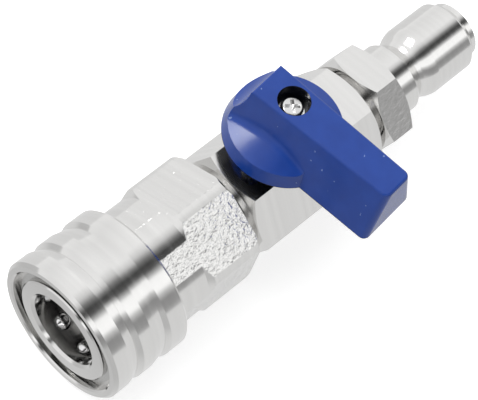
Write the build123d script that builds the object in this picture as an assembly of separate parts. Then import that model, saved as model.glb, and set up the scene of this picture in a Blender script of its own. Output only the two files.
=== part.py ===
from build123d import *
import math
import os

# Quick coupler with a ball valve in its middle, for a pressure washer hose or lance.
# X runs along the pipe, from the socket to the plug's tip, and Z runs up the valve's stem. All sizes are in
# millimetres. Stations along the pipe are measured from the end face of the socket's nose. The finished pieces
# are then moved so that the origin is where the mouth's chamfer ends and its bore begins.

# Plug end: the nose that goes into another socket, its ball groove and its hexagon
nose_radius = 8.4
tip_radius = 6.75
plug_groove_radius = 6.65
plug_bore_radius = 4.2
plug_hex_across_flats = 22.0
plug_hex_length = 7.7
plug_hex_end_radius = 10.95
plug_collar_length = 5.5
plug_collar_radius = 8.3
groove_entry_length = 2.7
groove_lead_length = 3.3
nose_length = 11.1
nose_cone_length = 1.6
nose_cone_end_radius = 7.0
tip_length = 1.45
plug_hex_turn = 20.0

# Socket end: bores for a plug of the same kind, and the turned outside
plug_clearance = 0.2
mouth_chamfer = 0.6
ball_relief_depth = 0.5
socket_water_radius = 5.0
neck_radius = 13.85
neck_front = 17.1
neck_end = 27.8
socket_hex_across_flats = 27.0
socket_hex_turned_radius = 15.0
socket_hex_turn = 3.5
socket_length = 41.8
rear_chamfer = 0.6

# Seal ring in the socket that grips the plug's nose
plug_seal_section = 2.4
plug_seal_bite = 0.2
seal_groove_front = 14.6
seal_side_room = 0.4

# Locking balls and the sleeve that holds them in
ball_count = 8
ball_radius = 2.0
ball_plane = 5.0
ball_turn = -19.0
ball_protrusion = 0.5
ball_travel = 0.7
ball_clearance = 0.05
sleeve_travel = 3.3
sleeve_running_gap = 0.08
rim_lead = 0.4
sleeve_length = 20.0
sleeve_radius = 16.6
sleeve_groove_radius = 15.85
rim_face_radius = 15.9
rim_chamfer_length = 0.8
rim_bore_radius = 14.4
rim_lip = 0.35
first_groove = 6.3
groove_pitch = 7.5
first_taper_length = 2.3
second_taper_length = 3.4
groove_step_length = 1.0
sleeve_rear_chamfer = 0.6
ramp_overlap = 0.3
land_end = 9.0
neck_clearance = 0.35

# Snap ring that keeps the sleeve on
snap_ring_front = 1.35
snap_ring_thickness = 1.0
snap_ring_width = 2.0
snap_ring_depth = 0.75
snap_ring_gap = 3.4
snap_ring_turn = -90.0
stop_gap = 0.1

# Spring that pushes the sleeve forward
spring_wire_radius = 0.6
spring_inner_gap = 0.3
spring_end_gap = 0.1
spring_turns = 3.5

# Pipe threads, drawn as plain cylinders at their outer size
thread_radius = 8.3
thread_clearance = 0.05
thread_relief_radius = 7.3
thread_relief_length = 1.6
thread_end_chamfer = 0.8
thread_bottom_gap = 0.5
socket_joint_gap = 2.65
plug_joint_gap = 1.8

# Valve body, a hexagonal bar
valve_wall = 3.2
valve_length = 36.65
valve_end_step = 2.04
hex_chamfer_angle = 30.0
stem_offset = 14.85
port_chamfer = 0.5

# Valve ball, its two seats and the ring that clamps them
valve_ball_radius = 6.5
valve_bore_radius = 3.5
seat_gap = 0.03
seat_reach = 4.2
seat_back = 7.0
seat_radial_gap = 0.05
chamber_radius = 6.7
front_wall = 1.2
seat_seal_section = 1.24
seat_seal_gap = 0.03
retainer_radius = 7.35
retainer_length = 4.7
retainer_bore_radius = 3.8
retainer_slot_width = 2.0
retainer_slot_depth = 1.4

# Stem
stem_radius = 3.2
stem_running_gap = 0.05
tang_width = 3.0
tang_length = 6.4
tang_depth = 2.05
tang_gap = 0.08
flange_radius = 4.2
flange_gap = 0.3
flange_thickness = 1.5
stem_washer_thickness = 0.44
washer_gap = 0.03
stem_seal_section = 1.5
stem_seal_gap = 0.02
stem_seal_wall = 0.6
stem_shoulder_rise = 1.85
stem_rise = 10.35
stem_across_flats = 4.6

# Lever handle, a casting whose arm lies across the pipe when the valve is shut
handle_ajar = 5.7
hub_gap = 3.95
hub_radius = 12.95
hub_skirt_height = 3.3
hub_skirt_step = 0.85
hub_cone_top_radius = 3.0
hub_cone_rise = 3.4
boss_radius = 5.4
boss_gap = 0.45
arm_rise = 12.9
arm_reach = 27.6
arm_tail = 7.5
arm_tail_half_width = 4.7
arm_tip_half_width = 3.7
arm_foot_half_width = 7.5
arm_tip_draft = 0.3
arm_end_fillet = 1.5
arm_edge_fillet = 0.55
hub_fillet = 2.2
tail_sweep_height = 9.2
tail_sweep_sag = 1.3
arm_wall = 2.0
arm_roof = 2.6
handle_fit_gap = 0.05
handle_web = 2.0

# Screw, its lock washer and the stop pin
screw_radius = 1.5
screw_head_radius = 2.4
screw_head_height = 1.8
screw_head_side = 1.0
screw_crown_inset = 0.45
screw_crown_drop = 0.12
screw_length = 9.0
screw_point_chamfer = 0.35
screw_hole_gap = 0.2
cross_width = 0.85
cross_span = 3.1
cross_depth = 1.1
counterbore_radius = 3.5
lock_washer_thickness = 0.7
lock_washer_radius = 2.75
lock_washer_slit = 0.5
lock_washer_slant = 15.0
stop_pin_radius = 1.5
stop_pin_inset = 4.45
stop_pin_depth = 2.3
stop_pin_rise = 1.9
stop_slot_gap = 0.3
stop_slot_depth = 2.3

# Sizes that follow from the ones above
guide_radius = nose_radius + plug_clearance
ball_rest_radius = guide_radius - ball_protrusion + ball_radius
ball_relief_reach = ball_radius + 2 * ball_clearance
nose_outer_radius = ball_rest_radius + ball_radius
land_radius = nose_outer_radius + sleeve_running_gap
sleeve_front = -rim_lead
sleeve_rear = sleeve_front + sleeve_length
sleeve_bore_radius = neck_radius + neck_clearance
snap_ring_rear = snap_ring_front + snap_ring_thickness
land_front = snap_ring_rear + stop_gap
ramp_slope = ball_travel / sleeve_travel
groove_end_to_tip = groove_lead_length + nose_length + nose_cone_length + tip_length
pocket_end = ball_plane + groove_lead_length + nose_length + plug_clearance
tip_pocket_end = ball_plane + groove_end_to_tip + 2 * plug_clearance
valve_front = socket_length + socket_joint_gap
valve_rear = valve_front + valve_length
stem_x = valve_front + stem_offset
port_radius = thread_radius + thread_clearance
valve_hex_across_flats = 2 * (port_radius + valve_wall)
valve_flat = valve_hex_across_flats / 2
front_port_end = stem_x - seat_back - front_wall
retainer_front = stem_x + seat_back
rear_port_end = retainer_front + retainer_length + thread_bottom_gap
plug_hex_front = valve_rear + plug_joint_gap
plug_hex_rear = plug_hex_front + plug_hex_length
plug_groove_front = plug_hex_rear + plug_collar_length
plug_groove_centre = plug_groove_front + groove_entry_length
nose_front = plug_groove_centre + groove_lead_length
nose_rear = nose_front + nose_length
tip_front = nose_rear + nose_cone_length
tip_rear = tip_front + tip_length
flange_bottom = valve_ball_radius + flange_gap
flange_top = flange_bottom + flange_thickness
flange_room_top = flange_top + stem_washer_thickness + 2 * washer_gap
stem_shoulder = valve_flat + stem_shoulder_rise
stem_top = valve_flat + stem_rise
hub_bottom = valve_flat + hub_gap
boss_bottom = valve_flat + boss_gap
arm_top = hub_bottom + arm_rise
hub_skirt_top = hub_bottom + hub_skirt_height
hub_skirt_top_radius = hub_radius - hub_skirt_step
stop_pin_circle = hub_radius - stop_pin_inset
counterbore_floor = stem_top + handle_fit_gap + handle_web


def chamfer_run(outer_radius, end_radius):
    """Length of the turned chamfer that brings a hexagon's corners down to end_radius."""
    return (outer_radius - end_radius) * math.tan(math.radians(hex_chamfer_angle))


def turned(points):
    """A turned piece: the outline (X, radius) swept round the pipe axis."""
    outline = Polyline(*[(x, radius) for x, radius in points], close=True)
    return revolve(make_face(outline), axis=Axis.X)


def turned_on_stem(points):
    """A turned piece on the stem: the outline (radius, Z) swept round the Z axis."""
    outline = Polyline(*[(radius, 0, z) for radius, z in points], close=True)
    return revolve(make_face(outline), axis=Axis.Z)


def rod(x_front, x_rear, radius):
    """A plain cylinder along the pipe axis."""
    middle = (x_front + x_rear) / 2
    return Pos(middle, 0, 0) * Rot(0, 90, 0) * Cylinder(radius, x_rear - x_front)


def post(z_low, z_high, radius):
    """A plain cylinder along the stem axis, at the frame's origin."""
    return Pos(0, 0, (z_low + z_high) / 2) * Cylinder(radius, z_high - z_low)


def hexagon_bar(x_front, x_rear, across_flats, turn):
    """A hexagonal prism along X with a corner turned by an angle from Z towards -Y."""
    section = RegularPolygon(across_flats / 2, 6, major_radius=False)
    bar = extrude(section, x_rear - x_front)
    return Rot(turn, 0, 0) * Pos(x_front, 0, 0) * Rot(0, 90, 0) * bar


def ring_seal(x, inner_radius, section):
    """A seal ring of round section about the pipe axis."""
    return Pos(x, 0, 0) * Rot(0, 90, 0) * Torus(inner_radius + section / 2, section / 2)


def at_ball(index):
    """Place of one locking ball, with its hole's axis along Z before it is turned round the pipe."""
    return Rot(ball_turn + 360 / ball_count * index, 0, 0) * Pos(ball_plane, 0, ball_rest_radius)


def socket_body():
    """Turned socket with the plug's pocket, ball holes, snap ring groove and wrench flats."""
    hex_shoulder = socket_hex_turned_radius - neck_radius
    stub_end = front_port_end - thread_bottom_gap
    outside = turned([
        (0, 0),
        (0, nose_outer_radius - mouth_chamfer / 2),
        (mouth_chamfer / 2, nose_outer_radius),
        (neck_front, nose_outer_radius),
        (neck_front, neck_radius),
        (neck_end, neck_radius),
        (neck_end + hex_shoulder, socket_hex_turned_radius),
        (socket_length - rear_chamfer, socket_hex_turned_radius),
        (socket_length, socket_hex_turned_radius - rear_chamfer),
        (socket_length, thread_relief_radius),
        (socket_length + thread_relief_length, thread_relief_radius),
        (socket_length + thread_relief_length, thread_radius),
        (stub_end - thread_end_chamfer, thread_radius),
        (stub_end, thread_radius - thread_end_chamfer),
        (stub_end, 0),
    ])
    body = outside & hexagon_bar(0, stub_end, socket_hex_across_flats, socket_hex_turn)
    cone_end = pocket_end + nose_cone_length
    body -= turned([
        (0, 0),
        (0, guide_radius + mouth_chamfer),
        (mouth_chamfer, guide_radius),
        (pocket_end, guide_radius),
        (cone_end, nose_cone_end_radius + plug_clearance),
        (tip_pocket_end, nose_cone_end_radius + plug_clearance),
        (tip_pocket_end, socket_water_radius),
        (stub_end, socket_water_radius),
        (stub_end, 0),
    ])
    seal_outer = nose_radius - plug_seal_bite + plug_seal_section + ball_clearance
    seal_groove_rear = seal_groove_front + plug_seal_section + seal_side_room
    body -= rod(seal_groove_front, seal_groove_rear, seal_outer)
    relief_radius = guide_radius + ball_relief_depth
    body -= rod(ball_plane - ball_relief_reach, ball_plane + ball_relief_reach, relief_radius)
    ring_seat = nose_outer_radius - snap_ring_depth
    slot_front = snap_ring_front - ball_clearance
    slot_rear = snap_ring_rear + ball_clearance
    snap_slot = rod(slot_front, slot_rear, nose_outer_radius + 1) - rod(slot_front, slot_rear, ring_seat)
    body -= snap_slot
    hole = Sphere(ball_radius + ball_clearance)
    hole += Pos(0, 0, ball_radius) * Cylinder(ball_radius + ball_clearance, 2 * ball_radius)
    lip_depth = ball_rest_radius - relief_radius
    lip_reach = math.sqrt(ball_radius**2 - lip_depth**2) + 2 * ball_clearance
    hole += Pos(0, 0, -ball_radius / 2) * Cylinder(lip_reach, ball_radius)
    for index in range(ball_count):
        body -= at_ball(index) * hole
    return body


def lock_sleeve():
    """Grooved sleeve, with the land and ramp inside that hold the balls or let them out."""
    outline = [
        (sleeve_front, rim_bore_radius + rim_lip),
        (sleeve_front, rim_face_radius),
        (sleeve_front + rim_chamfer_length, sleeve_radius),
    ]
    second_groove = first_groove + groove_pitch
    for groove, taper_length in ((first_groove, first_taper_length), (second_groove, second_taper_length)):
        outline.append((groove - taper_length, sleeve_radius))
        outline.append((groove, sleeve_groove_radius))
        outline.append((groove + groove_step_length, sleeve_radius))
    ramp_foot = ball_plane + ramp_overlap
    ramp_top_radius = land_radius + ramp_slope * (ramp_foot - land_front)
    outline += [
        (sleeve_rear - sleeve_rear_chamfer, sleeve_radius),
        (sleeve_rear, sleeve_radius - sleeve_rear_chamfer),
        (sleeve_rear, sleeve_bore_radius),
        (land_end, sleeve_bore_radius),
        (land_end, land_radius),
        (ramp_foot, land_radius),
        (land_front, ramp_top_radius),
        (land_front, rim_bore_radius),
        (sleeve_front + rim_lip, rim_bore_radius),
    ]
    return turned(outline)


def snap_ring():
    """Open ring in the nose's groove, which the sleeve's land stops against."""
    inner = nose_outer_radius - snap_ring_depth + ball_clearance
    outer = inner + snap_ring_width
    section = Polyline(
        (snap_ring_front, inner),
        (snap_ring_rear, inner),
        (snap_ring_rear, outer),
        (snap_ring_front, outer),
        close=True,
    )
    gap_angle = math.degrees(snap_ring_gap / inner)
    ring = revolve(make_face(section), axis=Axis.X, revolution_arc=360 - gap_angle)
    return Rot(snap_ring_turn + gap_angle / 2, 0, 0) * ring


def sleeve_spring():
    """Round wire spring between the sleeve's land and the neck's front shoulder."""
    coil_radius = nose_outer_radius + spring_inner_gap + spring_wire_radius
    end_room = spring_wire_radius + spring_end_gap
    coil_front = land_end + end_room
    coil_length = neck_front - end_room - coil_front
    pitch = coil_length / spring_turns
    path = Helix(pitch, coil_length, coil_radius, center=(coil_front, 0, 0), direction=(1, 0, 0))
    wire_section = Plane(origin=path @ 0, z_dir=path % 0) * Circle(spring_wire_radius)
    return sweep(wire_section, path=path, is_frenet=True)


def locking_ball(index):
    """One hardened ball, held a little way into the bore by the sleeve's land."""
    return at_ball(index) * Sphere(ball_radius)


def plug_seal():
    """Seal ring that grips the nose of the plug that comes in."""
    middle = seal_groove_front + (plug_seal_section + seal_side_room) / 2
    return ring_seal(middle, nose_radius - plug_seal_bite, plug_seal_section)


def valve_body():
    """Hexagonal bar, bored from both ends for the ball and the pipe threads, with the stem's hole."""
    corner_radius = valve_hex_across_flats / math.sqrt(3)
    valve_end_radius = corner_radius - valve_end_step
    run = chamfer_run(corner_radius, valve_end_radius)
    ends = turned([
        (valve_front, 0),
        (valve_front, valve_end_radius),
        (valve_front + run, corner_radius),
        (valve_rear - run, corner_radius),
        (valve_rear, valve_end_radius),
        (valve_rear, 0),
    ])
    body = ends & hexagon_bar(valve_front, valve_rear, valve_hex_across_flats, 30)
    retainer_bore = retainer_radius + thread_clearance
    retainer_bore_end = retainer_front + retainer_length + thread_bottom_gap
    body -= turned([
        (valve_front, 0),
        (valve_front, port_radius + port_chamfer),
        (valve_front + port_chamfer, port_radius),
        (front_port_end, port_radius),
        (front_port_end, valve_bore_radius),
        (stem_x - seat_back, valve_bore_radius),
        (stem_x - seat_back, chamber_radius),
        (retainer_front, chamber_radius),
        (retainer_front, retainer_bore),
        (retainer_bore_end, retainer_bore),
        (retainer_bore_end, port_radius),
        (valve_rear - port_chamfer, port_radius),
        (valve_rear, port_radius + port_chamfer),
        (valve_rear, 0),
    ])
    seal_top = valve_flat - stem_seal_wall
    seal_bottom = seal_top - stem_seal_section - 4 * stem_seal_gap
    seal_outer = stem_radius + stem_seal_section + 3 * stem_seal_gap
    stem_hole = post(0, valve_flat + 1, stem_radius + stem_running_gap)
    stem_hole += post(0, flange_room_top, flange_radius + 2 * stem_running_gap)
    stem_hole += post(seal_bottom, seal_top, seal_outer)
    body -= Pos(stem_x, 0, 0) * stem_hole
    body -= Pos(stem_x - stop_pin_circle, 0, 0) * post(valve_flat - stop_pin_depth, valve_flat + 1, stop_pin_radius)
    return body


def front_seat():
    """Plastic seat ring with a spherical face for the ball and a step at its back for a seal ring."""
    back = -seat_back
    step = back + seat_seal_section + 2 * seat_seal_gap
    outer = chamber_radius - seat_radial_gap
    step_radius = outer - seat_seal_section - 2 * seat_seal_gap
    ring = turned([
        (back, valve_bore_radius),
        (back, step_radius),
        (step, step_radius),
        (step, outer),
        (-seat_reach, outer),
        (-seat_reach, valve_bore_radius),
    ])
    return Pos(stem_x, 0, 0) * (ring - Sphere(valve_ball_radius + seat_gap))


def rear_seat():
    """The same seat ring, turned round for the far side of the ball."""
    return mirror(front_seat(), about=Plane(origin=(stem_x, 0, 0), z_dir=(1, 0, 0)))


def seat_seal(side):
    """Seal ring behind a seat: side is -1 towards the socket, 1 towards the plug."""
    middle = stem_x + side * (seat_back - seat_seal_gap - seat_seal_section / 2)
    outer = chamber_radius - seat_radial_gap
    return ring_seal(middle, outer - seat_seal_section - seat_seal_gap, seat_seal_section)


def seat_retainer():
    """Threaded ring that clamps the seats and ball from the plug side, with two spanner slots."""
    rear = retainer_front + retainer_length
    ring = rod(retainer_front, rear, retainer_radius) - rod(retainer_front, rear, retainer_bore_radius)
    slot = Box(2 * retainer_slot_depth, 2 * retainer_radius + 2, retainer_slot_width)
    return ring - Pos(rear, 0, 0) * slot


def turned_with_handle(piece):
    """Puts a piece drawn with the valve shut at the stem, as far open as the handle stands."""
    return Pos(stem_x, 0, 0) * Rot(0, 0, handle_ajar) * piece


def valve_ball():
    """Ball with its water bore across the pipe and the stem's slot on top."""
    ball = Sphere(valve_ball_radius)
    ball -= Rot(90, 0, 0) * Cylinder(valve_bore_radius, 3 * valve_ball_radius)
    slot_floor = flange_bottom - tang_depth - tang_gap
    slot = Box(3 * valve_ball_radius, tang_width + 2 * tang_gap, valve_ball_radius)
    ball -= Pos(0, 0, slot_floor + valve_ball_radius / 2) * slot
    return turned_with_handle(ball)


def stem():
    """Stem put in from inside: tang, flange, sealed shaft and a two-flat end tapped for the screw."""
    shaft = turned_on_stem([
        (0, flange_bottom),
        (flange_radius, flange_bottom),
        (flange_radius, flange_top),
        (stem_radius, flange_top),
        (stem_radius, stem_top - screw_hole_gap),
        (stem_radius - screw_hole_gap, stem_top),
        (0, stem_top),
    ])
    flats = Box(stem_across_flats, 4 * stem_radius, stem_top - stem_shoulder + 1)
    keep = post(0, stem_shoulder, 2 * flange_radius) + Pos(0, 0, (stem_top + stem_shoulder + 1) / 2) * flats
    shaft &= keep
    tang = Box(tang_length, tang_width, tang_depth + 1)
    tang = Pos(0, 0, flange_bottom - tang_depth + (tang_depth + 1) / 2) * tang
    tang &= post(flange_bottom - tang_depth, flange_top, flange_radius)
    screw_bottom = counterbore_floor + lock_washer_thickness - screw_length
    tapped = post(screw_bottom - 2 * screw_hole_gap, stem_top, screw_radius + handle_fit_gap)
    return turned_with_handle(shaft + tang - tapped)


def stem_washer():
    """Slippery washer between the stem's flange and the body."""
    low = flange_top + washer_gap
    high = low + stem_washer_thickness
    washer = post(low, high, flange_radius) - post(low, high, stem_radius + 2 * stem_running_gap)
    return Pos(stem_x, 0, 0) * washer


def stem_seal():
    """Seal ring round the stem, in the body's groove."""
    middle = valve_flat - stem_seal_wall - 2 * stem_seal_gap - stem_seal_section / 2
    ring_radius = stem_radius + stem_seal_gap + stem_seal_section / 2
    return Pos(stem_x, 0, middle) * Torus(ring_radius, stem_seal_section / 2)


def stop_pin():
    """Pin pressed in the body's flat, which runs in the slot under the handle's hub."""
    pin = post(valve_flat - stop_pin_depth, hub_bottom + stop_pin_rise, stop_pin_radius)
    pin = chamfer(pin.edges().sort_by(Axis.Z)[-1], stop_pin_radius / 5)
    return Pos(stem_x - stop_pin_circle, 0, 0) * pin


def arm_outline(z, tail_y, inset):
    """One level of the arm, pulled in by a wall: straight sides that narrow from the hub to the tip."""
    rise = (z - hub_bottom) / (arm_top - hub_bottom)
    tip_half = arm_foot_half_width - (arm_foot_half_width - arm_tip_half_width) * rise - inset
    tail_half = tip_half + (arm_tail_half_width - arm_tip_half_width) * rise
    tip_y = inset - arm_reach - arm_tip_draft * (1 - rise)
    corners = [(-tail_half, tail_y), (tail_half, tail_y), (tip_half, tip_y), (-tip_half, tip_y)]
    return Pos(0, 0, z) * make_face(Polyline(*corners, close=True))


def tail_sweep():
    """The block cut away behind the arm, with a hollow curve down to the hub."""
    foot_y = hub_skirt_top_radius
    foot_z = arm_top - tail_sweep_height
    chord = math.dist((foot_y, foot_z), (arm_tail, arm_top))
    middle_y = (foot_y + arm_tail) / 2 - tail_sweep_sag * (arm_top - foot_z) / chord
    middle_z = (foot_z + arm_top) / 2 - tail_sweep_sag * (foot_y - arm_tail) / chord
    past = 2 * hub_radius
    curve = ThreePointArc((0, arm_tail, arm_top + 1), (0, middle_y, middle_z), (0, foot_y, foot_z))
    rim = Polyline((0, foot_y, foot_z), (0, past, foot_z), (0, past, arm_top + 1), (0, arm_tail, arm_top + 1))
    return extrude(make_face(curve + rim), past, dir=(1, 0, 0), both=True)


def lever_arm():
    """The arm: a drafted bar with rounded end corners, swept down behind and rounded to the hub."""
    arm = loft([arm_outline(hub_bottom, hub_radius, 0), arm_outline(arm_top, hub_radius, 0)])
    upright = arm.edges().filter_by(Plane.XY, reverse=True)
    arm = fillet(upright.group_by(Axis.Y)[0], arm_end_fillet)
    arm -= tail_sweep()
    skirt_draft = (hub_radius - hub_skirt_top_radius) / hub_skirt_height
    crown_radius = hub_radius - skirt_draft * (arm_top - hub_bottom)
    round_end = turned_on_stem([
        (0, hub_bottom),
        (hub_radius, hub_bottom),
        (crown_radius, arm_top),
        (0, arm_top),
    ])
    past = 2 * hub_radius
    ahead = Pos(0, -past, hub_bottom + past / 2) * Box(2 * past, 2 * past, past)
    arm = (arm & ahead) + (arm & round_end)
    return arm


def stop_slot():
    """Quarter-round slot for the stop pin, from the shut place back to the open one."""
    half_width = stop_pin_radius + stop_slot_gap
    shape = post(0, 1, stop_pin_circle + half_width) - post(0, 1, stop_pin_circle - half_width)
    shape &= Pos(-2 * hub_radius, 2 * hub_radius, 0) * Box(4 * hub_radius, 4 * hub_radius, 4)
    shape += Pos(-stop_pin_circle, 0, 0) * post(0, 1, half_width)
    shape += Pos(0, stop_pin_circle, 0) * post(0, 1, half_width)
    return Pos(0, 0, hub_bottom - 1) * scale(shape, by=(1, 1, stop_slot_depth + 1))


def handle():
    """Cast lever: round hub with a coned top, a high hollow arm, and the stem's and screw's holes."""
    hub = turned_on_stem([
        (0, hub_bottom),
        (hub_radius, hub_bottom),
        (hub_skirt_top_radius, hub_skirt_top),
        (hub_cone_top_radius, hub_skirt_top + hub_cone_rise),
        (0, hub_skirt_top + hub_cone_rise),
    ])
    casting = hub + lever_arm()
    inner_corners = [
        edge
        for edge in casting.edges()
        if abs(edge.center().X) < hub_radius - 1
        and hub_skirt_top + 0.2 < edge.center().Z < hub_skirt_top + hub_cone_rise
        and edge.center().Y < arm_tail
        and edge.length > hub_fillet
    ]
    casting = fillet(inner_corners, hub_fillet)
    top_rim = casting.edges().group_by(Axis.Z)[-1]
    casting = fillet(top_rim, arm_edge_fillet)
    casting += post(boss_bottom, hub_bottom + 1, boss_radius)
    hollow_start = -boss_radius - arm_wall
    roof = arm_top - arm_roof
    casting -= loft([
        arm_outline(hub_bottom - 1, hollow_start, arm_wall),
        arm_outline(roof, hollow_start, arm_wall),
    ])
    casting -= stop_slot()
    stem_end = stem_top + handle_fit_gap
    casting -= post(boss_bottom - 1, stem_shoulder + handle_fit_gap, stem_radius + handle_fit_gap)
    flats = Box(stem_across_flats + 2 * handle_fit_gap, 4 * stem_radius, 2 * stem_end)
    casting -= post(boss_bottom, stem_end, stem_radius + handle_fit_gap) & flats
    casting -= post(stem_top, arm_top, screw_radius + screw_hole_gap)
    casting -= post(counterbore_floor, arm_top + 1, counterbore_radius)
    return turned_with_handle(casting)


def handle_screw():
    """Pan head screw with a cross recess, down the middle of the stem."""
    head_bottom = counterbore_floor + lock_washer_thickness
    head_top = head_bottom + screw_head_height
    head_side = head_bottom + screw_head_side
    crown_edge = (screw_head_radius - screw_crown_inset, 0, head_top - screw_crown_drop)
    shoulder = (screw_head_radius - screw_crown_drop, 0, (head_side + 2 * head_top) / 3 - screw_crown_drop)
    corner = ThreePointArc((screw_head_radius, 0, head_side), shoulder, crown_edge)
    rest = Polyline(
        crown_edge,
        (0, 0, head_top),
        (0, 0, head_bottom - screw_length),
        (screw_radius - screw_point_chamfer, 0, head_bottom - screw_length),
        (screw_radius, 0, head_bottom - screw_length + screw_point_chamfer),
        (screw_radius, 0, head_bottom),
        (screw_head_radius, 0, head_bottom),
        (screw_head_radius, 0, head_side),
    )
    screw = revolve(make_face(corner + rest), axis=Axis.Z)
    for turn in (45, 135):
        arm = Box(cross_span, cross_width, 2 * cross_depth)
        screw -= Pos(0, 0, head_top) * Rot(0, 0, turn) * arm
    return turned_with_handle(screw)


def lock_washer():
    """Split spring washer under the screw's head."""
    high = counterbore_floor + lock_washer_thickness
    hole = screw_radius + screw_hole_gap / 2
    washer = post(counterbore_floor, high, lock_washer_radius) - post(counterbore_floor, high, hole)
    slit = Box(2 * lock_washer_radius, lock_washer_slit, 4 * lock_washer_thickness)
    washer -= Pos(lock_washer_radius, 0, high) * Rot(lock_washer_slant, 0, 0) * slit
    return turned_with_handle(washer)


def quick_plug():
    """Turned plug: pipe thread, hexagon, collar, the groove that the balls grip, and the nose."""
    corner_radius = plug_hex_across_flats / math.sqrt(3)
    run = chamfer_run(corner_radius, plug_hex_end_radius)
    stub_front = rear_port_end + thread_bottom_gap
    groove_rise = groove_lead_length / 4
    shoulder = (nose_front - groove_rise, nose_radius - groove_rise / 2)
    front = Polyline(
        (nose_front + groove_rise, nose_radius),
        (nose_rear, nose_radius),
        (tip_front, nose_cone_end_radius),
        (tip_front, tip_radius),
        (tip_rear, tip_radius),
        (tip_rear, plug_bore_radius),
        (stub_front, plug_bore_radius),
        (stub_front, thread_radius - thread_end_chamfer),
        (stub_front + thread_end_chamfer, thread_radius),
        (plug_hex_front - thread_relief_length, thread_radius),
        (plug_hex_front - thread_relief_length, thread_relief_radius),
        (plug_hex_front, thread_relief_radius),
        (plug_hex_front, plug_hex_end_radius),
        (plug_hex_front + run, corner_radius),
        (plug_hex_rear - run, corner_radius),
        (plug_hex_rear, plug_hex_end_radius),
        (plug_hex_rear, plug_collar_radius),
        (plug_groove_front, plug_collar_radius),
        (plug_groove_centre, plug_groove_radius),
        (plug_groove_centre + groove_rise, plug_groove_radius + groove_rise / 2),
    )
    rise = ThreePointArc(
        (plug_groove_centre + groove_rise, plug_groove_radius + groove_rise / 2),
        shoulder,
        (nose_front + groove_rise, nose_radius),
    )
    turning = revolve(make_face(front + rise), axis=Axis.X)
    bar = hexagon_bar(stub_front - 1, plug_hex_rear, plug_hex_across_flats, plug_hex_turn)
    return turning & (bar + rod(plug_hex_rear, tip_rear + 1, nose_radius + 1))


def make_parts():
    """Every piece by its node name."""
    parts = {
        "socket_body": socket_body(),
        "lock_sleeve": lock_sleeve(),
        "sleeve_spring": sleeve_spring(),
        "snap_ring": snap_ring(),
        "plug_seal": plug_seal(),
        "valve_body": valve_body(),
        "front_seat": front_seat(),
        "rear_seat": rear_seat(),
        "front_seat_seal": seat_seal(-1),
        "rear_seat_seal": seat_seal(1),
        "seat_retainer": seat_retainer(),
        "valve_ball": valve_ball(),
        "stem": stem(),
        "stem_washer": stem_washer(),
        "stem_seal": stem_seal(),
        "stop_pin": stop_pin(),
        "handle": handle(),
        "handle_screw": handle_screw(),
        "lock_washer": lock_washer(),
        "quick_plug": quick_plug(),
    }
    for index in range(ball_count):
        parts[f"locking_ball_{index + 1}"] = locking_ball(index)
    return parts


os.makedirs("parts", exist_ok=True)
for name, piece in make_parts().items():
    piece = Pos(-mouth_chamfer, 0, 0) * piece
    piece.label = name
    export_step(piece, f"parts/{name}.step")
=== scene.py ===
import bpy
import math
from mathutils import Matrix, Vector

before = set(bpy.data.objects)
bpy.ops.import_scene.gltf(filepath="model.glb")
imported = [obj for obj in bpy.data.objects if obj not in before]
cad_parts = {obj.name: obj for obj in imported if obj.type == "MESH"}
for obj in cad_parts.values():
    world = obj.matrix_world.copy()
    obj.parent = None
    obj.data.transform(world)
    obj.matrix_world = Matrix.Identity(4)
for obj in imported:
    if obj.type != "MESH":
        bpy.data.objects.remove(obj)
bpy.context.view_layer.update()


# Studio room: pale walls, which the bright plating shows as long streaks, because the brightness
# changes only with the angle round the pipe. The camera sees plain white instead of the room.
def feed(tree, socket, value):
    """Gives a socket a number or colour, or links another node's output to it."""
    if isinstance(value, bpy.types.NodeSocket):
        tree.links.new(value, socket)
    else:
        socket.default_value = value


def add_node(tree, kind, inputs=None):
    """Adds a node, whose named inputs are fed with values or other nodes' outputs."""
    node = tree.nodes.new(kind)
    for name, value in (inputs or {}).items():
        feed(tree, node.inputs[name], value)
    return node


def math_node(tree, operation, *values):
    """Adds a math node and returns its output."""
    node = tree.nodes.new("ShaderNodeMath")
    node.operation = operation
    for socket, value in zip(node.inputs, values):
        feed(tree, socket, value)
    return node.outputs[0]


def mix_shaders(tree, share, first, second):
    """Mixes two shaders and returns the output; the share of the second runs from 0 to 1."""
    node = tree.nodes.new("ShaderNodeMixShader")
    for socket, output in zip(node.inputs, (share, first, second)):
        tree.links.new(output, socket)
    return node.outputs[0]


white = (1, 1, 1, 1)
world = bpy.data.worlds.new("studio_room")
bpy.context.scene.world = world
world.use_nodes = True
tree = world.node_tree
tree.nodes.clear()
place = add_node(tree, "ShaderNodeTexCoord")
parts = add_node(tree, "ShaderNodeSeparateXYZ", {"Vector": place.outputs["Generated"]})
towards_minus_y = math_node(tree, "MULTIPLY", parts.outputs["Y"], -1.0)
angle = math_node(tree, "ARCTAN2", towards_minus_y, parts.outputs["Z"])
turn_share = add_node(tree, "ShaderNodeMapRange", {"Value": angle, "From Min": -math.pi, "From Max": math.pi})
ramp = add_node(tree, "ShaderNodeValToRGB", {"Fac": turn_share.outputs["Result"]})

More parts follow.
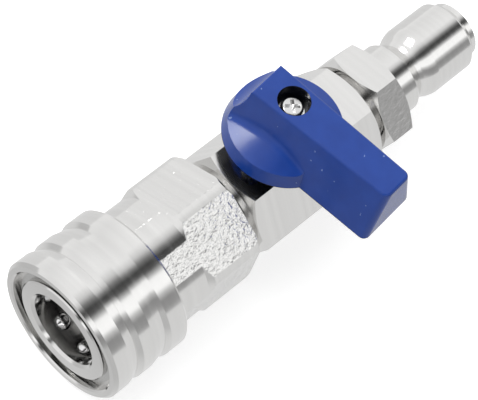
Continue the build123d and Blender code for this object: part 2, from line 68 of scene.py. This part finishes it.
# Degrees from straight up towards -Y, and the brightness of the walls there.
wall_strips = [
    (-180, 0.80), (-92, 0.95), (-70, 0.88), (-45, 0.92), (-14, 0.98), (-2, 0.72), (7, 0.22), (15, 0.05),
    (24, 0.10), (31, 0.55), (36, 1.15), (54, 1.20), (61, 0.62), (70, 0.30), (84, 0.36), (96, 0.62),
    (130, 0.80), (180, 0.80),
]
stops = ramp.color_ramp.elements
while len(stops) > 1:
    stops.remove(stops[-1])
for index, (degrees, level) in enumerate(wall_strips):
    position = (degrees + 180) / 360
    stop = stops[0] if index == 0 else stops.new(position)
    stop.position = position
    stop.color = (level, level, level, 1)
walls = add_node(tree, "ShaderNodeBackground", {"Color": ramp.outputs["Color"]})
backdrop = add_node(tree, "ShaderNodeBackground", {"Color": white})
ray = add_node(tree, "ShaderNodeLightPath")
room_seen = mix_shaders(tree, ray.outputs["Is Camera Ray"], walls.outputs[0], backdrop.outputs[0])
add_node(tree, "ShaderNodeOutputWorld", {"Surface": room_seen})

# Table: a white sheet under the coupler, which lies on its sleeve and on the plug's hexagon.
# The plating shows the sheet as a pale grey glow, with a painted shadow that darkens it in front of
# the socket where the coupler shades the sheet; the sheet itself keeps the coupler's faint real shadow.
table_size = 3.0
table_place = (0.06, 0, -0.0168)
table_glow = 0.5
# Glow of the sheet as the plating sees it: dim where a painted shadow lies in front of the socket, bright
# beyond it.
painted_shadow_in_metal = 0.58
table_bright_in_metal = 0.78
painted_shadow_up_to = -0.075
bright_from = -0.050
bpy.ops.mesh.primitive_plane_add(size=table_size, location=table_place)
floor = bpy.context.object
floor.name = "studio_floor"
floor_paint = bpy.data.materials.new("white_floor")
floor_paint.use_nodes = True
tree = floor_paint.node_tree
paper = tree.nodes["Principled BSDF"]
paper.inputs["Base Color"].default_value = (0.80, 0.80, 0.80, 1)
paper.inputs["Roughness"].default_value = 0.9
paper.inputs["Specular IOR Level"].default_value = 0.1
glow = add_node(tree, "ShaderNodeEmission", {"Color": white, "Strength": table_glow})
glowing_paper = tree.nodes.new("ShaderNodeAddShader")
tree.links.new(paper.outputs[0], glowing_paper.inputs[0])
tree.links.new(glow.outputs[0], glowing_paper.inputs[1])
ray = add_node(tree, "ShaderNodeLightPath")
table_lit = mix_shaders(tree, ray.outputs["Is Camera Ray"], paper.outputs[0], glowing_paper.outputs[0])
place = add_node(tree, "ShaderNodeTexCoord")
parts = add_node(tree, "ShaderNodeSeparateXYZ", {"Vector": place.outputs["Object"]})
# Painted shadow: the glow the plating sees fades darker towards the socket's front, standing in for the
# coupler's shadow on the sheet.
painted_shadow_fade = add_node(tree, "ShaderNodeMapRange", {
    "Value": parts.outputs["X"],
    "From Min": painted_shadow_up_to,
    "From Max": bright_from,
    "To Min": painted_shadow_in_metal,
    "To Max": table_bright_in_metal,
})
painted_shadow_fade.interpolation_type = "SMOOTHSTEP"
glow_with_painted_shadow = add_node(tree, "ShaderNodeEmission", {"Strength": painted_shadow_fade.outputs["Result"]})
table_seen = mix_shaders(tree, ray.outputs["Is Glossy Ray"], table_lit, glow_with_painted_shadow.outputs[0])
feed(tree, tree.nodes["Material Output"].inputs["Surface"], table_seen)
floor.data.materials.append(floor_paint)


# Lamps: a softbox high behind the handle, which the enamel of the hub's cone shows, and a broad
# soft lamp overhead that the plating doesn't show.
def flat_lamp(name, width, height, watts):
    """Adds a flat lamp at the origin, which shines straight down until it is moved and turned."""
    data = bpy.data.lights.new(name, "AREA")
    data.shape = "RECTANGLE"
    data.size = width
    data.size_y = height
    data.energy = watts
    lamp = bpy.data.objects.new(name, data)
    bpy.context.scene.collection.objects.link(lamp)
    return lamp


soft_box = flat_lamp("soft_box", 0.26, 0.20, 1.7)
soft_box_direction = Vector((-0.10, 0.56, 0.82))
soft_box_distance = 0.62
near_handle = Vector((0.05, 0.0, 0.02))
soft_box.location = near_handle + soft_box_distance * soft_box_direction
soft_box.rotation_euler = (-soft_box_direction).to_track_quat("-Z", "Y").to_euler()
overhead = flat_lamp("overhead", 0.7, 0.7, 1.8)
overhead.location = (0.0, 0.05, 0.7)
overhead.visible_glossy = False

# Camera: above the socket's side, turned so that the pipe runs up to the right across the frame.
camera_data = bpy.data.cameras.new("view")
camera = bpy.data.objects.new("view", camera_data)
bpy.context.scene.collection.objects.link(camera)
camera_data.sensor_fit = "HORIZONTAL"
camera_data.sensor_width = 36.0
camera_data.lens = 180.75
camera_data.clip_start = 0.01
camera.location = (-0.168973, -0.129232, 0.433112)
camera.rotation_euler = (math.radians(29.0016), math.radians(-8.9444), math.radians(-43.7864))
bpy.context.scene.camera = camera
bpy.context.scene.view_settings.view_transform = "Standard"


# Socket body: turned from a 27 mm hexagon bar and nickel plated. The flats were blasted before
# plating and keep a coarse sparkling skin; the nose, neck and bore show the lathe's rings. Its
# stub is screwed into the valve body.
def mix_node(tree, data_type, share, first, second):
    """Mixes two numbers, colours or normals and returns the output."""
    node = tree.nodes.new("ShaderNodeMix")
    node.data_type = data_type
    for name, value in (("Factor", share), ("A", first), ("B", second)):
        feed(tree, node.inputs[name], value)
    return node.outputs["Result"]


def start_group(name, inputs, outputs):
    """Makes a node group with named sockets and returns it with its entry and exit nodes."""
    group = bpy.data.node_groups.new(name, "ShaderNodeTree")
    for socket_name, value in inputs.items():
        socket = group.interface.new_socket(name=socket_name, in_out="INPUT", socket_type="NodeSocketFloat")
        socket.default_value = value
    for socket_name in outputs:
        group.interface.new_socket(name=socket_name, in_out="OUTPUT", socket_type="NodeSocketFloat")
    entry = group.nodes.new("NodeGroupInput")
    leave = group.nodes.new("NodeGroupOutput")
    return group, entry, leave


# Fine rings of a lathe round the X axis: their height, and broad streaks along them.
rings_per_metre = 4000.0
ring_detail = 3.0
streak_scale = 0.12
streak_detail = 2.0
turning_marks, entry, leave = start_group(
    "turning_marks", {"Rings per Metre": rings_per_metre, "Waver": 30.0}, ["Height", "Streak"]
)
place = add_node(turning_marks, "ShaderNodeTexCoord")
parts = add_node(turning_marks, "ShaderNodeSeparateXYZ", {"Vector": place.outputs["Object"]})
ring_place = add_node(turning_marks, "ShaderNodeCombineXYZ", {
    "X": math_node(turning_marks, "MULTIPLY", parts.outputs["X"], entry.outputs["Rings per Metre"]),
    "Y": math_node(turning_marks, "MULTIPLY", parts.outputs["Y"], entry.outputs["Waver"]),
    "Z": math_node(turning_marks, "MULTIPLY", parts.outputs["Z"], entry.outputs["Waver"]),
})
ring_noise = add_node(turning_marks, "ShaderNodeTexNoise", {
    "Vector": ring_place.outputs[0], "Scale": 1.0, "Detail": ring_detail,
})
feed(turning_marks, leave.inputs["Height"], ring_noise.outputs["Fac"])
streak_noise = add_node(turning_marks, "ShaderNodeTexNoise", {
    "Vector": ring_place.outputs[0], "Scale": streak_scale, "Detail": streak_detail,
})
feed(turning_marks, leave.inputs["Streak"], streak_noise.outputs["Fac"])

# The mask is 1 on the wrench flats of a hexagon bar, whatever else is turned on the same piece.
flat_tolerance = 0.00004
flat_pairs = (30, 90, 150)
wrench_flats, entry, leave = start_group(
    "wrench_flats", {"Half Across Flats": 0.0135, "Corner Turn": 0.0}, ["Flat"]
)
place = add_node(wrench_flats, "ShaderNodeTexCoord")
parts = add_node(wrench_flats, "ShaderNodeSeparateXYZ", {"Vector": place.outputs["Object"]})
reach = None
for degrees in flat_pairs:
    angle = math_node(wrench_flats, "ADD", entry.outputs["Corner Turn"], math.radians(degrees))
    cosine = math_node(wrench_flats, "COSINE", angle)
    sine = math_node(wrench_flats, "SINE", angle)
    rise = math_node(wrench_flats, "MULTIPLY", parts.outputs["Z"], cosine)
    side = math_node(wrench_flats, "MULTIPLY", parts.outputs["Y"], sine)
    distance = math_node(wrench_flats, "ABSOLUTE", math_node(wrench_flats, "SUBTRACT", rise, side))
    reach = distance if reach is None else math_node(wrench_flats, "MAXIMUM", reach, distance)
past_flat = math_node(wrench_flats, "SUBTRACT", reach, entry.outputs["Half Across Flats"])
off_flat = math_node(wrench_flats, "ABSOLUTE", past_flat)
on_flat = math_node(wrench_flats, "LESS_THAN", off_flat, flat_tolerance)
feed(wrench_flats, leave.inputs["Flat"], on_flat)


def turned_steel(name, colour, roughness, flats=None):
    """Steel turned all round, with a finish of its own on the wrench flats, where it has any."""
    dull_share = 0.93
    smoothest_share = 0.7
    roughest_share = 1.3
    waver = 20.0
    grain_detail = 3.0
    ring_strength = 0.10
    ring_depth = 0.00002
    streak_range = {"From Min": 0.3, "From Max": 0.7}
    material = bpy.data.materials.new(name)
    material.use_nodes = True
    tree = material.node_tree
    shader = tree.nodes["Principled BSDF"]
    shader.inputs["Metallic"].default_value = 1.0
    marks = tree.nodes.new("ShaderNodeGroup")
    marks.node_tree = turning_marks
    marks.inputs["Rings per Metre"].default_value = rings_per_metre
    marks.inputs["Waver"].default_value = waver
    streak = marks.outputs["Streak"]
    tint = add_node(tree, "ShaderNodeMapRange", {"Value": streak, **streak_range})
    dull = (colour[0] * dull_share, colour[1] * dull_share, colour[2] * dull_share, 1)
    bright = (colour[0], colour[1], colour[2], 1)
    feed(tree, shader.inputs["Base Color"], mix_node(tree, "RGBA", tint.outputs["Result"], dull, bright))
    turned_roughness = add_node(tree, "ShaderNodeMapRange", {
        "Value": streak,
        "To Min": roughness * smoothest_share,
        "To Max": roughness * roughest_share,
        **streak_range,
    }).outputs["Result"]
    ring_normal = add_node(tree, "ShaderNodeBump", {
        "Height": marks.outputs["Height"], "Strength": ring_strength, "Distance": ring_depth,
    }).outputs["Normal"]
    if flats is None:
        feed(tree, shader.inputs["Roughness"], turned_roughness)
        feed(tree, shader.inputs["Normal"], ring_normal)
        return material
    mask = tree.nodes.new("ShaderNodeGroup")
    mask.node_tree = wrench_flats
    mask.inputs["Half Across Flats"].default_value = flats["across"] / 2
    mask.inputs["Corner Turn"].default_value = math.radians(flats["turn"])
    on_flat = mask.outputs["Flat"]
    place = add_node(tree, "ShaderNodeTexCoord")
    grain = add_node(tree, "ShaderNodeTexNoise", {
        "Vector": place.outputs["Object"], "Scale": flats["grain"], "Detail": grain_detail,
    })
    flat_normal = add_node(tree, "ShaderNodeBump", {
        "Height": grain.outputs["Fac"], "Strength": 1.0, "Distance": flats["depth"],
    }).outputs["Normal"]
    piece_roughness = mix_node(tree, "FLOAT", on_flat, turned_roughness, flats["roughness"])
    feed(tree, shader.inputs["Roughness"], piece_roughness)
    feed(tree, shader.inputs["Normal"], mix_node(tree, "VECTOR", on_flat, ring_normal, flat_normal))
    return material


def finish_node(node, material):
    """Puts a material on a CAD node, whose shape stays as it is, and shades its curves smooth."""
    sharp_from = math.radians(25)
    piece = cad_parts[node]
    piece.data.materials.clear()
    piece.data.materials.append(material)
    bpy.ops.object.select_all(action="DESELECT")
    piece.select_set(True)
    bpy.context.view_layer.objects.active = piece
    bpy.ops.object.shade_smooth_by_angle(angle=sharp_from)
    piece.select_set(False)


nickel = (0.83, 0.825, 0.815)
blasted_flats = {"across": 0.027, "turn": 3.5, "roughness": 0.16, "grain": 1100.0, "depth": 0.00022}
finish_node("socket_body", turned_steel("socket_nickel", nickel, 0.14, blasted_flats))


# Plug seal: a ring of black nitrile rubber, moulded in one piece. It lies in a groove inside the
# socket and grips the nose of the plug that is pushed in.
def moulded(name, colour, roughness, grain_scale, grain_strength):
    """Moulded rubber or plastic with a fine grain in its colour, gloss and surface."""
    grain_depth = 0.00005
    dark_share = 0.8
    smoothest_share = 0.85
    roughest_share = 1.15
    material = bpy.data.materials.new(name)
    material.use_nodes = True
    tree = material.node_tree
    shader = tree.nodes["Principled BSDF"]
    place = add_node(tree, "ShaderNodeTexCoord")
    grain = add_node(tree, "ShaderNodeTexNoise", {
        "Vector": place.outputs["Object"], "Scale": grain_scale,
    }).outputs["Fac"]
    darker = (colour[0] * dark_share, colour[1] * dark_share, colour[2] * dark_share, 1)
    paler = (colour[0], colour[1], colour[2], 1)
    feed(tree, shader.inputs["Base Color"], mix_node(tree, "RGBA", grain, darker, paler))
    gloss = add_node(tree, "ShaderNodeMapRange", {
        "Value": grain, "To Min": roughness * smoothest_share, "To Max": roughness * roughest_share,
    })
    feed(tree, shader.inputs["Roughness"], gloss.outputs["Result"])
    bump = add_node(tree, "ShaderNodeBump", {
        "Height": grain, "Strength": grain_strength, "Distance": grain_depth,
    })
    feed(tree, shader.inputs["Normal"], bump.outputs["Normal"])
    return material


seal_rubber = moulded("seal_rubber", (0.03, 0.03, 0.032), 0.5, 3000.0, 0.2)
finish_node("plug_seal", seal_rubber)

# Locking balls: eight balls of hardened chrome steel, ground and polished. They sit loose in the
# socket's tapered holes, and the sleeve over them keeps them pressed into the plug's groove.
ball_count = 8
ball_steel = turned_steel("ball_steel", (0.8, 0.8, 0.8), 0.07)
for index in range(1, ball_count + 1):
    finish_node(f"locking_ball_{index}", ball_steel)

# Sleeve spring: a coil of plain spring steel wire, wound round the socket's neck. It pushes the
# lock sleeve forward over the balls.
plain_steel = turned_steel("plain_steel", (0.6, 0.6, 0.59), 0.25)
finish_node("sleeve_spring", plain_steel)

# Lock sleeve: turned steel with two finger grooves under bright nickel plate. The lathe left fine
# rings round it, so the plating shows streaks. It slides on the socket's nose and neck.
finish_node("lock_sleeve", turned_steel("sleeve_nickel", nickel, 0.13))

# Snap ring: an open ring of plain spring steel, sprung into a groove near the socket's mouth. It
# stops the sleeve from coming off at the front.
finish_node("snap_ring", plain_steel)

# Valve body: a hexagon bar of steel, 23.1 mm across its flats and nickel plated. Its flats stayed
# smooth, and both ends have a turned chamfer and a threaded port.
smooth_flats = {"across": 0.0231, "turn": 30, "roughness": 0.16, "grain": 300.0, "depth": 0.00001}
finish_node("valve_body", turned_steel("valve_nickel", nickel, 0.14, smooth_flats))

# Seats and their seals: two rings of white fluoroplastic, which bear on the ball from both sides,
# and behind each one a ring of black nitrile rubber. All four lie in the valve body's chamber.
seat_plastic = moulded("seat_plastic", (0.85, 0.84, 0.8), 0.45, 1500.0, 0.1)
for seat in ("front_seat", "rear_seat"):
    finish_node(seat, seat_plastic)
    finish_node(seat + "_seal", seal_rubber)

# Valve ball: a bored ball of chrome steel, ground and polished, between the two seats. A slot on
# its top takes the stem's tang.
finish_node("valve_ball", ball_steel)

# Seat retainer: a threaded ring of plain steel with two spanner slots, screwed into the chamber to
# clamp the seats and the ball.
finish_node("seat_retainer", plain_steel)

# Stem, its washer and its seal: a turned stem of plain steel, put in from inside. A slippery washer
# of white fluoroplastic lies on its flange, and a black rubber ring seals it.
finish_node("stem", plain_steel)
finish_node("stem_washer", seat_plastic)
finish_node("stem_seal", seal_rubber)

# Stop pin: a plain steel pin, pressed into the valve body beside the stem. It runs in the slot
# under the handle and stops it after a quarter turn.
finish_node("stop_pin", plain_steel)

# Handle: a cast zinc lever under glossy blue enamel. The enamel lies slightly wavy with a few pale
# specks. The screw's well and the underside of the hub are coloured near black as painted shade.
wave_scale = 260.0
wave_detail = 2.0
speck_scale = 700.0
speck_detail = 1.0
speck_level = 0.755
speck_strength = 0.5
deep_blue = (0.004, 0.032, 0.21, 1)
light_blue = (0.008, 0.048, 0.28, 1)
speck_colour = (0.25, 0.35, 0.60, 1)
# Near-black painted shade for the screw's well and the underside of the hub.
painted_shade_black = (0.004, 0.005, 0.010, 1)
stem_axis_x = 0.0587
well_radius = 0.00352
well_floor = 0.0236
hub_underside = 0.0156
glossiest = 0.16
dullest = 0.26
wave_strength = 0.12
wave_depth = 0.0002
enamel = bpy.data.materials.new("blue_enamel")
enamel.use_nodes = True
tree = enamel.node_tree
shader = tree.nodes["Principled BSDF"]
shader.inputs["Specular IOR Level"].default_value = 0.45
place = add_node(tree, "ShaderNodeTexCoord").outputs["Object"]
wave = add_node(tree, "ShaderNodeTexNoise", {
    "Vector": place, "Scale": wave_scale, "Detail": wave_detail,
}).outputs["Fac"]
speckle = add_node(tree, "ShaderNodeTexNoise", {
    "Vector": place, "Scale": speck_scale, "Detail": speck_detail,
})
on_speck = math_node(tree, "GREATER_THAN", speckle.outputs["Fac"], speck_level)
speck_share = math_node(tree, "MULTIPLY", on_speck, speck_strength)
blue = mix_node(tree, "RGBA", wave, deep_blue, light_blue)
speckled_blue = mix_node(tree, "RGBA", speck_share, blue, speck_colour)
parts = add_node(tree, "ShaderNodeSeparateXYZ", {"Vector": place})
from_stem = math_node(tree, "SUBTRACT", parts.outputs["X"], stem_axis_x)
stem_square = math_node(tree, "POWER", from_stem, 2.0)
side_square = math_node(tree, "POWER", parts.outputs["Y"], 2.0)
off_axis = math_node(tree, "SQRT", math_node(tree, "ADD", stem_square, side_square))
# Painted shade: the screw's well and the hub's underside get the near-black colour where shade falls.
in_well = math_node(tree, "LESS_THAN", off_axis, well_radius)
above_floor = math_node(tree, "GREATER_THAN", parts.outputs["Z"], well_floor)
well = math_node(tree, "MULTIPLY", in_well, above_floor)
underside = math_node(tree, "LESS_THAN", parts.outputs["Z"], hub_underside)
painted_shade_mask = math_node(tree, "MAXIMUM", well, underside)
feed(tree, shader.inputs["Base Color"], mix_node(tree, "RGBA", painted_shade_mask, speckled_blue, painted_shade_black))
gloss = add_node(tree, "ShaderNodeMapRange", {"Value": wave, "To Min": glossiest, "To Max": dullest})
feed(tree, shader.inputs["Roughness"], gloss.outputs["Result"])
bump = add_node(tree, "ShaderNodeBump", {"Height": wave, "Strength": wave_strength, "Distance": wave_depth})
feed(tree, shader.inputs["Normal"], bump.outputs["Normal"])
finish_node("handle", enamel)

# Lock washer and screw: a split spring washer and a pan head screw with a cross recess, both of
# zinc-plated steel. The screw goes through the handle into the top of the stem.
zinc = turned_steel("zinc_screw", (0.80, 0.80, 0.80), 0.2)
finish_node("lock_washer", zinc)
finish_node("handle_screw", zinc)

# Quick plug: turned steel under nickel plate, with a polished nose, a ball groove and a 22 mm
# hexagon, whose flats have a light grain. Its stub is screwed into the valve body's rear port.
grained_flats = {"across": 0.022, "turn": 20, "roughness": 0.2, "grain": 900.0, "depth": 0.00005}
finish_node("quick_plug", turned_steel("plug_nickel", nickel, 0.13, grained_flats))
